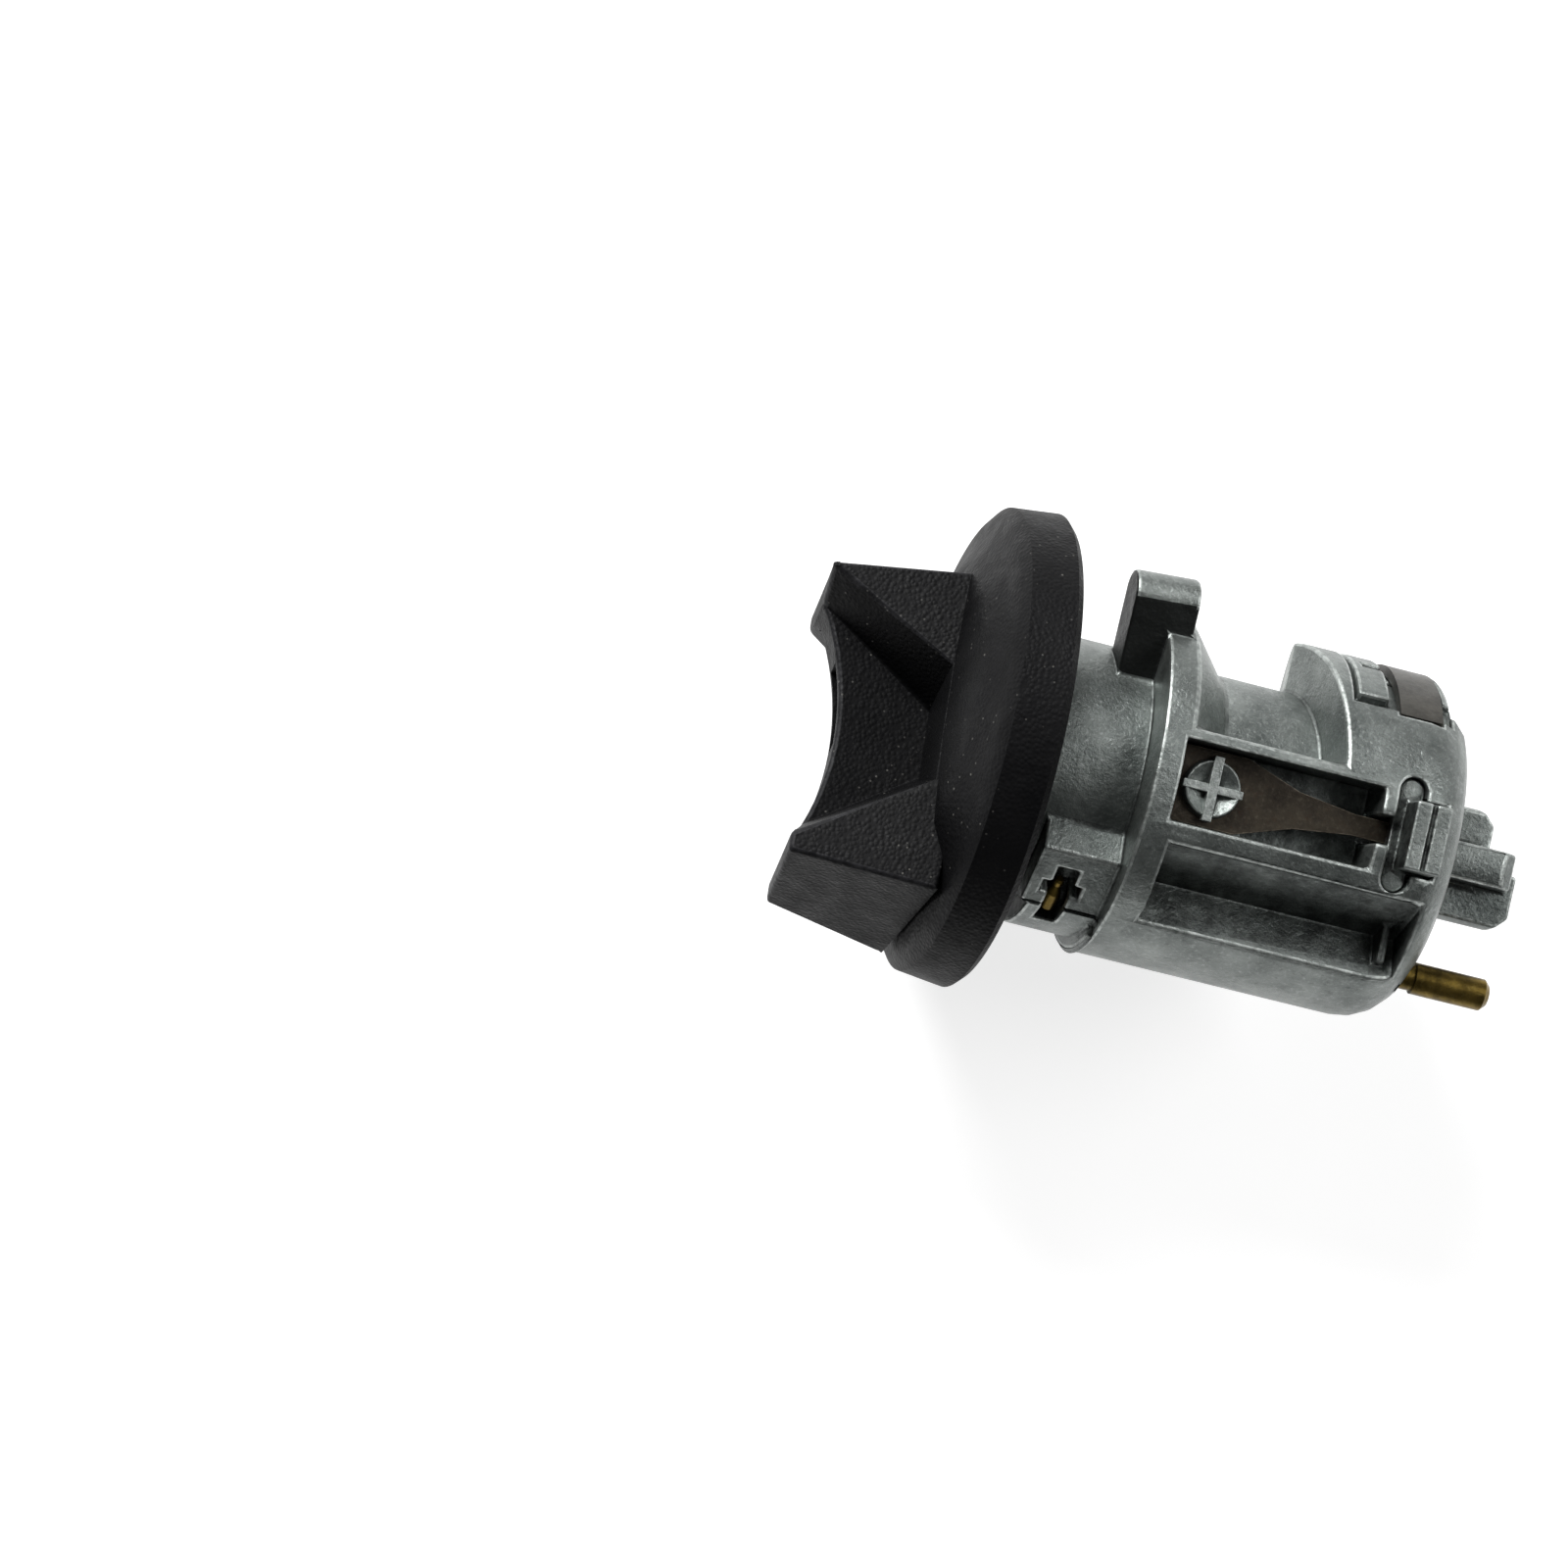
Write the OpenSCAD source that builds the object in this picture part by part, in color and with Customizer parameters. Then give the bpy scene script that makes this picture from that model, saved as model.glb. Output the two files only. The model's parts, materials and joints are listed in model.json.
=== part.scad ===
// Ignition lock cylinder with a winged turn knob.
// Millimetres. The key axis lies on X, from the knob (-X) to the drive tang (+X).
// The latch and its window face +Z, the anti-turn ear faces +Y.
// X = 0 is the front face of the housing collar.

/* [Knob] */
// Rim radius at the rear of the round flange
rim_r = 27.1; // [20:0.1:35]
// Rim radius at the front edge of the flange
rim_front_r = 26.5; // [19:0.1:34]
// Rear face of the flange in front of the collar face
flange_rear = 12.4; // [8:0.1:20]
// Height of the flange rim
rim_h = 6; // [4:0.1:12]
// Bevel on the rear edge of the rim
rim_edge = 0.8; // [0.3:0.1:2]
// Height of the flange at its middle
flange_h = 10; // [6:0.1:14]
// Radius of the flat middle of the flange
flange_flat_r = 12; // [8:0.5:20]
// Radius at the top of the flange's cone
flange_cone_r = 18.4; // [14:0.1:24]
// Rounding of the rim's front edge
rim_round = 1.6; // [0.5:0.1:3]
// Height of the grip above the rear of the flange
grip_h = 23.5; // [15:0.1:35]
// Turn of the grip about the key axis, from +Z towards -Y
grip_turn = 71.6; // [0:0.1:180]
// Reach of the long wing at its foot
long_wing = 22.6; // [15:0.1:26]
// Reach of the short wing at its foot
short_wing = 15.3; // [10:0.1:24]
// Half width of the grip at its foot
grip_half_w = 10.9; // [6:0.1:15]
// Draft of the wing ends over the grip's height
end_draft = 1.5; // [0:0.1:4]
// Draft of the wing sides over the grip's height
side_draft = 2.6; // [0:0.1:5]
// Lean of the grip's front about the line of its wings
front_lean = 7; // [0:0.5:15]
// Half thickness of the web between the finger scoops
web_half_w = 2.6; // [2:0.1:6]
// Middle of the finger scoops from the key axis, towards the long wing
scoop_off = 2.8; // [-5:0.1:8]
// Half length of a scoop's floor at the front
scoop_front = 13.5; // [8:0.1:18]
// Half length of a scoop's floor at the flange
scoop_foot = 4.3; // [2:0.1:10]
// Slope of a scoop's end walls
scoop_slope = 0.35; // [0:0.05:1]
// Radius of the hollow in the front of the grip
front_hollow_r = 32; // [20:1:60]
// Depth of the hollow in the front of the grip
front_hollow = 3.7; // [0:0.1:6]
// Offset of the front hollow's middle towards the long wing
hollow_off = 3.8; // [-5:0.1:8]
// Key slot length in the front of the grip
key_slot_l = 9.6; // [7:0.1:12]
// Key slot width in the front of the grip
key_slot_w = 3; // [2:0.1:4]
// Radius of the pin that ties the knob to the plug
pin_r = 1.2; // [0.6:0.1:2]
// Length of that pin
pin_l = 9; // [5:0.1:14]
// Depth of that pin in the plug
pin_hold = 2.6; // [1:0.1:4]
// Distance of that pin in front of the flange's rear face
pin_back = 3.6; // [2:0.1:6]
// Depth of the plug's socket in the rear of the knob
socket_depth = 7.6; // [4:0.1:9]

/* [Housing] */
// Neck radius between knob and collar
neck_r = 14.3; // [11:0.1:18]
// Radius of the collar and of the rear drum
drum_r = 19.8; // [15:0.1:25]
// Radius of the middle barrel
barrel_r = 14; // [11:0.1:18]
// Gap between the knob and the front of the neck
knob_gap = 0.4; // [0.3:0.1:1]
// Length of the collar rim
collar_l = 3.5; // [2:0.1:6]
// End of the sloped rear of the collar
collar_slope_end = 8.5; // [5:0.1:12]
// Rear face of the housing
housing_rear = 36.7; // [30:0.1:50]
// Rounding of the drum's rear edge
rear_round = 6; // [2:0.1:8]
// Drum front wall where it crosses the key axis
drum_front = 17.1; // [12:0.1:22]
// Lean of the drum's front wall
drum_lean = 12.5; // [0:0.5:20]
// First angle of the solid underside, from +Z towards -Y
under_from = 44; // [40:1:70]
// Last angle of the solid underside, from +Z towards -Y
under_to = 150; // [120:1:170]
// Radius of the underside in front of the collar
under_front_r = 18.4; // [16:0.1:20]
// Front end of the underside
under_front = -8.2; // [-11:0.1:-4]
// Rear end of the reduced underside
under_step = -0.5; // [-4:0.1:0]

/* [Window and pocket] */
// Half width of the spring window
window_half_w = 4.6; // [3:0.1:6]
// Front end of the spring window
window_front = 2.9; // [1:0.1:6]
// Rear end of the spring window
window_rear = 26; // [20:0.1:30]
// Floor of the spring window above the key axis
window_floor = 14.6; // [13:0.1:17]
// Front end of the well below the spring's tongue
well_front = 12.2; // [10:0.1:16]
// Floor of that well above the key axis
well_floor = 12.3; // [10:0.1:14]
// Outer face of the rail on the ear side
rail_ear_y = 5.9; // [5:0.1:8]
// Outer face of the rail on the pocket side
rail_pocket_y = 7; // [6:0.1:9]
// Front end of the side pocket
pocket_front = 3.6; // [2:0.1:8]
// Rear end of the side pocket
pocket_rear = 33.4; // [28:0.1:36]
// Bottom corner of the side pocket, sideways
pocket_y = 10.8; // [9:0.1:13]
// Bottom corner of the side pocket, above the key axis
pocket_z = 9.3; // [7:0.1:12]
// Top of the side pocket's inner wall above the key axis
pocket_top = 17.8; // [16:0.1:20]
// Outer edge of the side pocket, sideways
pocket_edge_y = 21.6; // [18:0.1:24]
// Outer edge of the side pocket, above the key axis
pocket_edge_z = 15.1; // [12:0.1:18]
// Distance of the pocket's rib from the pocket's rear end
pocket_rib_x = 1.4; // [0.8:0.1:4]
// Thickness of the pocket's rib
pocket_rib_w = 1; // [0.5:0.1:2]
// Height of the pocket's rib
pocket_rib_h = 3.2; // [1:0.1:5]
// Post that holds the leaf spring
post_r = 2.2; // [1.5:0.1:3]
// Staked head of that post
post_head_r = 3.4; // [2:0.1:4]
// Height of that head
post_head_h = 0.9; // [0.5:0.1:1.5]
// Width of the stake marks across that head
stake_w = 0.5; // [0.2:0.1:0.8]
// Place of that post along the axis
post_x = 7.4; // [4:0.1:12]

// Front end of the slit beside the retaining clip
slit_front = 23.6; // [20:0.1:26]
// Length of that slit
slit_l = 5.6; // [3:0.1:8]
// Angle of that slit, from +Z towards +Y
slit_turn = 72; // [60:1:80]
// Width of that slit in degrees
slit_w = 5; // [2:0.5:8]

/* [Ear and front block] */
// Front of the anti-turn ear
ear_front = -5; // [-8:0.1:0]
// Rear of the anti-turn ear
ear_rear = 2.4; // [2:0.1:8]
// Reach of the ear at its front
ear_reach = 22.1; // [20:0.1:26]
// Side of the ear's tip away from the latch, above the key axis
ear_low = 7.9; // [-4:0.1:9]
// Side of the ear's tip towards the latch, above the key axis
ear_high = 13.5; // [10:0.1:15]
// Slope of the ear's outer face
ear_slope = 4; // [0:0.5:12]
// Tilt of the ear about the key axis
ear_tilt = 18; // [0:1:40]
// Rounding of the ear's outer edges
ear_round = 2.6; // [0.5:0.1:2.7]
// Front of the block that carries the plunger
block_front = -9; // [-11:0.1:-6]
// Half width of the plunger's channel
channel_half_w = 1.2; // [0.8:0.1:2]
// Width of the cross slot beside the channel
cross_w = 1.6; // [1:0.1:2.5]
// Half length of the cross slot
cross_half_l = 2.2; // [1.5:0.1:3]
// Depth of the plunger's channel below the block's face
channel_depth = 2.5; // [2.2:0.1:4]
// Middle of the plunger's channel along the axis
channel_x = -5.2; // [-6:0.1:-2]

// Depth of the sunk seat at the drum's upper rear
seat_depth = 1.4; // [0.6:0.1:2]
// Start of the seat around the axis
seat_from = 220; // [200:1:240]
// End of the seat around the axis
seat_to = 316; // [300:1:330]
// Front of the rib left standing in the seat
seat_rib_front = 22.2; // [21:0.1:24]
// Width of the rib left standing in the seat
seat_rib_w = 3.7; // [2:0.1:5]

/* [Latch] */
// Middle of the latch slot along the axis
slot_x = 29.3; // [26:0.1:32]
// Latch slot width
slot_w = 3.2; // [2:0.1:5]
// Latch slot length
slot_l = 13; // [9:0.1:16]
// Rear end of the latch button
button_rear = 33.3; // [32:0.1:36]
// Latch button width
button_w = 7.7; // [5:0.1:10]
// Top of the latch button above the key axis
button_top = 22.2; // [20:0.1:25]
// Width of each rib on the latch button
rib_w = 1.9; // [1:0.1:2]
// Height of the ribs on the latch button
rib_h = 0.5; // [0.3:0.1:1.5]
// Latch travel into the housing
latch_travel = 2.4; // [1:0.1:3]
// Leaf spring thickness
leaf_t = 0.6; // [0.3:0.1:1]
// Leaf spring tongue width
tongue_w = 2.4; // [1.5:0.1:4]

// Start of the leaf spring's taper along the axis
taper_front = 10.9; // [9:0.1:14]
// Bend in that taper along the axis
taper_mid = 17.4; // [15:0.1:20]
// Half width of the leaf spring at that bend
taper_half_w = 2.1; // [1.5:0.1:3]
// End of that taper along the axis
taper_rear = 24; // [21:0.1:26]

/* [Retaining clip] */
// Front edge of the clip band
clip_front = 27.1; // [24:0.1:30]
// Width of the clip band
clip_w = 5; // [3:0.1:7]
// Thickness of the clip band
clip_t = 1.1; // [0.6:0.1:2]
// Visible end of the clip band, from +Z towards +Y
clip_end = 43; // [30:1:60]
// Angle of the clip's inward leg, from +Z towards +Y
clip_leg = 100; // [80:1:130]
// Width of the clip's inward leg along the axis
clip_leg_w = 1.8; // [1:0.1:3]

/* [Plug] */
// Plug radius
plug_r = 7.8; // [6:0.1:10]
// Front end of the plug
plug_front = -19.6; // [-24:0.1:-14]
// Keyway length across the plug
keyway_l = 9.6; // [7:0.1:12]
// Keyway width across the plug
keyway_w = 3; // [2:0.1:4]
// Rear end of the keyway
keyway_rear = 8; // [4:0.5:14]
// Depth of the clip groove
groove_depth = 1.4; // [0.5:0.1:2]
// Tang radius
tang_r = 6.5; // [4:0.1:8]
// Tang arm thickness
tang_w = 4.2; // [2:0.1:6]
// Rear end of the tang
tang_rear = 46.4; // [42:0.1:52]
// Set-back of the shorter tang arms
tang_set_back = 2.4; // [0:0.1:5]
// Extra length of the longest tang arm
tang_step = 1.4; // [0:0.1:3]
// Corner cut off the end of each tang arm
tang_cut = 1.6; // [0.5:0.1:3]

/* [Wafers] */
// First wafer along the axis
wafer_first = -10.6; // [-16:0.1:-8]
// Distance between wafers
wafer_pitch = 2.6; // [2:0.1:4]
// Wafer thickness
wafer_t = 1.5; // [1:0.1:2]
// Wafer width
wafer_w = 6.8; // [5:0.1:9]
// Radius of the wafer's rounded ends
wafer_r = 7; // [5:0.1:9]
// Wafer travel to either side
wafer_travel = 0.5; // [0.2:0.1:1]
// Wafer spring wire
wafer_wire = 0.3; // [0.15:0.05:0.4]
// Wafer spring radius at the wire's middle
wafer_coil_r = 0.5; // [0.3:0.05:0.8]

/* [Shutter] */
// Shutter plate thickness
shutter_t = 0.6; // [0.4:0.1:1]
// Shutter plate length across the key slot
shutter_l = 8; // [6:0.1:12]
// Shutter plate reach from its pin
shutter_reach = 5; // [3:0.1:6]
// Shutter pin radius
shutter_pin_r = 0.5; // [0.3:0.1:0.8]
// Length of each pin end in the plug
shutter_pin_end = 0.8; // [0.4:0.1:1.2]
// Radius of the shutter's eyes
shutter_eye_r = 0.95; // [0.7:0.05:1.2]
// Half width of the gap between the eyes
shutter_eye_gap = 1.3; // [0.8:0.1:2]

/* [Rod and plunger] */
// Rod radius
rod_r = 1.8; // [1:0.1:3]
// Rod radius inside the housing
rod_in_r = 1.5; // [0.8:0.1:2.7]
// Distance of the rod from the key axis
rod_off = 15.7; // [13:0.1:17]
// Angle of the rod, from +Z towards -Y
rod_turn = 64.6; // [50:0.1:90]
// Front end of the rod
rod_front = 2; // [0:0.1:6]
// Rear end of the rod
rod_rear = 45.9; // [42:0.1:50]
// Chamfer on the rod's rear end
rod_chamfer = 0.6; // [0.2:0.1:1.2]
// Shoulder radius on the rod
rod_shoulder_r = 2.7; // [2:0.1:3.2]
// Plunger radius
plunger_r = 0.85; // [0.5:0.05:1.5]
// Distance of the plunger's outer end from the cross slot
plunger_start = 5.6; // [4:0.1:6]
// Travel of the plunger
plunger_travel = 0.8; // [0.4:0.1:1.2]
// Radius of the plunger's neck
plunger_neck_r = 0.4; // [0.2:0.05:0.7]
// Radius of the plunger's tip
plunger_tip_r = 0.55; // [0.3:0.05:0.8]
// Plunger length
plunger_l = 4.6; // [3:0.1:6]

/* [Fits] */
// Running clearance on a radius
run_gap = 0.05; // [0.02:0.01:0.1]
// Clearance of sliding flat faces
slide_gap = 0.15; // [0.05:0.05:0.3]
// Open clearance around hidden pieces
free_gap = 0.4; // [0.3:0.1:1]

/* [Hidden] */
$fn = 96;
wafer_count = 7;
eps = 0.01;
flange_front = -flange_rear - flange_h;
grip_front = -flange_rear - grip_h;
rim_front = -flange_rear - rim_h;
neck_front = -flange_rear + knob_gap;
socket_front = -flange_rear - socket_depth;
bore_r = plug_r + run_gap;
clip_in_r = drum_r - clip_t - 0.1;
pin_x = -flange_rear - pin_back;
pin_foot = plug_r - pin_hold;
rod_bore_r = rod_in_r + run_gap;
channel_end = plunger_start + plunger_travel + free_gap;
rod_spring_front = 24;
rod_spring_rear = 33;
rod_pocket_r = rod_shoulder_r + free_gap;
leaf_z = window_floor + 0.9;
latch_foot = leaf_z + leaf_t + 0.2;
button_front = slot_x - 0.2;
button_foot = drum_r - 2.2;
block_turn = 52;
block_face = 16.9;
block_section = [[6.6, 12.5], [10.4, 13.9], [16.2, 8.4], [13, 3], [8, 6]];
shutter_x = plug_front + 1.6;
shutter_y = 3.3;
shutter_wire = 0.24;
zinc = [0.62, 0.63, 0.62];
black = [0.07, 0.07, 0.075];
steel = [0.55, 0.54, 0.52];
brown_steel = [0.33, 0.27, 0.21];
brass = [0.72, 0.56, 0.28];

// Round bar along the key axis.
module axial(x0, x1, r) {
  translate([x0, 0, 0]) rotate([0, 90, 0]) cylinder(r = r, h = x1 - x0);
}

// Block from its lowest corner to its highest corner.
module block(low, high) {
  translate(low) cube(high - low);
}

// Sector of a ring about the key axis, angles from +Z towards -Y.
module sector(x0, x1, r0, r1, a0, a1) {
  translate([x0, 0, 0]) rotate([0, 90, 0]) rotate([0, 0, a0 - 180])
    rotate_extrude(angle = a1 - a0) translate([r0, 0]) square([r1 - r0, x1 - x0]);
}

// Solid turned about the key axis from a profile of [radius, x] points.
module turned(profile) {
  rotate([0, 90, 0]) rotate_extrude() polygon(profile);
}

// Prism along the key axis from a section of [-y, z] points.
module along(x0, x1, section) {
  translate([x0, 0, 0]) rotate([90, 0, 90]) mirror([1, 0, 0])
    linear_extrude(x1 - x0) polygon(section);
}

// Prism across the key axis from a section of [x, z] points.
module along_y(section) {
  translate([0, drum_r * 2, 0]) rotate([90, 0, 0]) linear_extrude(drum_r * 4) polygon(section);
}

// Knob: coned flange with a two-winged grip.
module grip_solid() {
  hull() {
    block([flange_front + 1.5, -grip_half_w, -short_wing],
          [flange_front + 2, grip_half_w, long_wing]);
    translate([grip_front, 0, 0]) rotate([0, 0, front_lean])
      block([0, side_draft - grip_half_w, end_draft - short_wing],
            [0.5, grip_half_w - side_draft, long_wing - end_draft]);
  }
}

// Finger scoop on one side of the grip, side = 1 towards +Y.
module scoop(side) {
  reach = grip_half_w + 2;
  spread = scoop_slope * (reach - web_half_w);
  front = grip_front - 2;
  half_front = scoop_front + (scoop_front - scoop_foot) * 2 / (flange_front - grip_front);
  hull() {
    for (end = [-1, 1]) {
      translate([front, side * web_half_w, scoop_off + end * half_front]) cube(eps, center = true);
      translate([flange_front, side * web_half_w, scoop_off + end * scoop_foot]) cube(eps, center = true);
      translate([front, side * reach, scoop_off + end * (half_front + spread)]) cube(eps, center = true);
      translate([flange_front, side * reach, scoop_off + end * (scoop_foot + spread)])
        cube(eps, center = true);
    }
  }
}

// Flange: coned front, rounded rim edge, flat middle.
module flange_solid() {
  turned([[0, flange_front], [flange_flat_r, flange_front + 0.1], [flange_cone_r, flange_front + 0.5],
          [rim_front_r - 2.4 * rim_round, rim_front - rim_round],
          [rim_front_r - 0.8 * rim_round, rim_front - 0.6 * rim_round],
          [rim_front_r, rim_front], [rim_r, -flange_rear - rim_edge],
          [rim_r - rim_edge, -flange_rear], [0, -flange_rear]]);
}

module knob() {
  color(black) difference() {
    union() {
      flange_solid();
      rotate([grip_turn, 0, 0]) difference() {
        grip_solid();
        scoop(1);
        scoop(-1);
        translate([grip_front, 0, hollow_off]) rotate([0, 0, front_lean])
          translate([front_hollow - front_hollow_r, grip_half_w * 2, 0])
            rotate([90, 0, 0]) cylinder(r = front_hollow_r, h = grip_half_w * 4);
      }
    }
    axial(socket_front, 0, bore_r);
    rotate([grip_turn, 0, 0]) {
      block([grip_front - 5, -key_slot_w / 2, -key_slot_l / 2],
            [socket_front + 1, key_slot_w / 2, key_slot_l / 2]);
      translate([pin_x, 0, 0]) rotate([90, 0, 0]) cylinder(r = pin_r + run_gap, h = rim_r * 2);
    }
  }
}

// Pin that ties the knob to the plug.
module knob_pin() {
  color(steel) rotate([grip_turn, 0, 0]) translate([pin_x, -pin_foot, 0])
    rotate([90, 0, 0]) cylinder(r = pin_r, h = pin_l);
}

// Housing: die-cast barrel with collar, drum, ear and front block.
module housing_solid() {
  axial(neck_front, 1, neck_r);
  difference() {
    rounded_drum();
    difference() {
      waist();
      sector(0, housing_rear, 0, drum_r * 2, under_from, under_to);
      block([0, -pocket_y - 2, 0], [housing_rear, rail_ear_y, drum_r * 2]);
    }
  }
  sector(under_front, 1, barrel_r - 4, under_front_r, under_from + 19, under_to);
  sector(under_step, 1, barrel_r - 3, drum_r - 0.1, under_from + 24, under_to - 1);
  ear();
  along(block_front, 0.5, block_section);
}

// Full outline of the collar and drum, its rear edge rounded in short cones.
module rounded_drum() {
  arc = [for (a = [18, 36, 54, 72, 90])
    [drum_r - rear_round * (1 - cos(a)), housing_rear - rear_round * (1 - sin(a))]];
  turned(concat([[0, 0], [drum_r, 0], [drum_r, housing_rear - rear_round]], arc, [[0, housing_rear]]));
}

// Space around the middle barrel, from the collar's slope to the drum's leaning front wall.
module waist() {
  slope = (collar_slope_end - collar_l) / (drum_r - barrel_r);
  lean = drum_r * 2 * tan(drum_lean);
  intersection() {
    turned([[barrel_r, collar_slope_end], [drum_r + 2, collar_l - 2 * slope],
            [drum_r + 2, housing_rear], [barrel_r, housing_rear]]);
    along_y([[0, -drum_r * 2], [drum_front + lean, -drum_r * 2], [drum_front, 0],
             [drum_front + lean, drum_r * 2], [0, drum_r * 2]]);
  }
}

// Anti-turn ear: tab with rounded outer edges.
module ear() {
  length = ear_rear - ear_front;
  translate([ear_front, ear_reach, (ear_low + ear_high) / 2]) rotate([ear_tilt, 0, ear_slope]) {
    half = (ear_high - ear_low) / 2;
    block([0, barrel_r - 4 - ear_reach, -half], [length, -ear_round, half]);
    block([0, -ear_round - 1, ear_round - half], [length, 0, half - ear_round]);
    for (side = [-1, 1])
      translate([0, -ear_round, side * (half - ear_round)]) rotate([0, 90, 0])
        cylinder(r = ear_round, h = length);
  }
}

// Latch opening: round-ended slot with the button's well beside it.
module latch_opening() {
  well = latch_foot - latch_travel - 0.6;
  for (side = [-1, 1])
    translate([slot_x, side * (slot_l - slot_w) / 2, well - 4]) cylinder(r = slot_w / 2, h = 20);
  block([slot_x - slot_w / 2, -(slot_l - slot_w) / 2, well - 4],
        [slot_x + slot_w / 2, (slot_l - slot_w) / 2, drum_r + 2]);
  block([slot_x, -button_w / 2 - 2 * slide_gap, button_foot - latch_travel - free_gap],
        [button_rear + 2 * slide_gap, button_w / 2 + 2 * slide_gap, drum_r + 5]);
}

// Side pocket below the window, with a small rib near its rear end.
module side_pocket() {
  top = drum_r + 4;
  difference() {
    along(pocket_front, pocket_rear, [[rail_pocket_y, top], [rail_pocket_y, pocket_top], [pocket_y, pocket_z],
                                      [pocket_edge_y, pocket_edge_z], [top, top]]);
    along(pocket_rear - pocket_rib_x - pocket_rib_w, pocket_rear - pocket_rib_x,
          [[rail_pocket_y, pocket_z], [rail_pocket_y, pocket_z + pocket_rib_h],
           [pocket_y + pocket_rib_h, pocket_z + pocket_rib_h], [pocket_y + pocket_rib_h, pocket_z]]);
  }
}

// Upper rear of the drum: sunk seat with ribs left standing.
module top_seat() {
  seat_r = drum_r - seat_depth;
  difference() {
    sector(drum_front + 4.6, pocket_rear, seat_r, drum_r + 2, seat_from, seat_to);
    sector(seat_rib_front, seat_rib_front + seat_rib_w, seat_r - 1, drum_r + 3, seat_from - 20, seat_to - 4);
    sector(clip_front + clip_w + 0.2, pocket_rear + 1, seat_r - 1, drum_r + 3, seat_from - 20, seat_to - 11);
  }
  sector(clip_front - 0.1, clip_front + clip_w + 0.1, clip_in_r - 0.1, drum_r + 2,
         seat_from, 360 - clip_end + 0.4);
  sector(pocket_rear, housing_rear + 1, barrel_r + 1.2, drum_r + 2, seat_from - 5, seat_to - 6);
}

module housing() {
  color(zinc) difference() {
    housing_solid();
    axial(neck_front - 1, housing_rear + 1, bore_r);
    block([window_front, -window_half_w, window_floor], [window_rear, window_half_w, drum_r + 2]);
    block([well_front, -window_half_w, well_floor], [window_rear, window_half_w, drum_r + 2]);
    block([window_rear - 1, -tongue_w / 2 - free_gap, well_floor],
          [slot_x, tongue_w / 2 + free_gap, drum_r + 2]);
    latch_opening();
    side_pocket();
    top_seat();
    rotate([-clip_leg, 0, 0])
      block([clip_front + (clip_w - clip_leg_w) / 2 - slide_gap, -0.9, 0],
            [clip_front + (clip_w + clip_leg_w) / 2 + slide_gap, 0.9, drum_r]);
    sector(slit_front, slit_front + slit_l, barrel_r - 2, drum_r + 2,
           360 - slit_turn, 360 - slit_turn + slit_w);
    rotate([rod_turn, 0, 0]) translate([0, 0, rod_off]) {
      axial(under_front + 2, housing_rear + 1, rod_bore_r);
      axial(rod_spring_front - 2.2, rod_spring_rear, rod_pocket_r);
    }
    front_opening();
  }
  color(zinc) post();
}

// Post through the leaf spring, its head staked with a cross.
module post() {
  head = leaf_z + leaf_t + run_gap;
  translate([post_x, 0, 0]) difference() {
    union() {
      translate([0, 0, window_floor - 1]) cylinder(r = post_r, h = head - window_floor + 1.5);
      translate([0, 0, head]) cylinder(r1 = post_head_r, r2 = post_head_r - 0.6, h = post_head_h);
    }
    for (turn = [20, 110])
      translate([0, 0, head + post_head_h]) rotate([0, 0, turn])
        cube([post_head_r * 3, stake_w, stake_w], center = true);
  }
}

// Cross-shaped opening and channel in the front block.
module front_opening() {
  rotate([block_turn, 0, 0]) {
    floor = block_face - channel_depth;
    block([channel_x - cross_half_l, -cross_w, floor], [channel_x + cross_half_l, 0, block_face + 4]);
    block([channel_x - channel_half_w, -channel_end, floor],
          [channel_x + channel_half_w, cross_half_l, block_face + 4]);
  }
}

// Plug: turned rotor with keyway, wafer slots, clip groove and drive tang.
module plug() {
  color(zinc) difference() {
    union() {
      axial(plug_front, housing_rear, plug_r);
      tang();
    }
    difference() {
      axial(clip_front + (clip_w - clip_leg_w) / 2 - 2 * slide_gap,
            clip_front + (clip_w + clip_leg_w) / 2 + 2 * slide_gap, plug_r + 1);
      axial(0, housing_rear, plug_r - groove_depth);
    }
    rotate([grip_turn, 0, 0]) {
      block([plug_front - 1, -keyway_w / 2, -keyway_l / 2], [keyway_rear, keyway_w / 2, keyway_l / 2]);
      for (i = [0:wafer_count - 1]) translate([wafer_first + i * wafer_pitch, 0, 0]) wafer_slot();
      shutter_room();
      translate([pin_x, free_gap - pin_foot, 0]) rotate([90, 0, 0]) cylinder(r = pin_r + run_gap, h = plug_r);
    }
  }
}

// Drive tang: cross of four arms, the ear-side arm shorter, each arm's end corner cut off.
module tang() {
  intersection() {
    axial(housing_rear - 1, tang_rear + tang_step, tang_r);
    union() {
      axial(housing_rear - 1, tang_rear - tang_set_back - 1, tang_w * 0.8);
      tang_arm(tang_rear, 0);
      tang_arm(tang_rear - tang_set_back, -90);
      tang_arm(tang_rear + tang_step, 90);
      tang_arm(tang_rear - tang_set_back, 180);
    }
  }
}

// One arm of the tang up to x, turned about the key axis from +Z towards -Y.
module tang_arm(x, turn) {
  rotate([turn, 0, 0]) translate([0, tang_w / 2, 0]) rotate([90, 0, 0]) linear_extrude(tang_w)
    polygon([[housing_rear - 1, 0], [x, 0], [x, tang_r - tang_cut], [x - tang_cut, tang_r],
             [housing_rear - 1, tang_r]]);
}

// Slot for one wafer and its spring.
module wafer_slot() {
  half = wafer_w / 2 + slide_gap;
  block([-wafer_t / 2 - slide_gap, -half, -plug_r - 1], [wafer_t / 2 + slide_gap, half, plug_r + 1]);
  block([-wafer_t / 2 - slide_gap, 0, -3.2], [wafer_t / 2 + slide_gap, 5.2, 4.6]);
}

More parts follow.
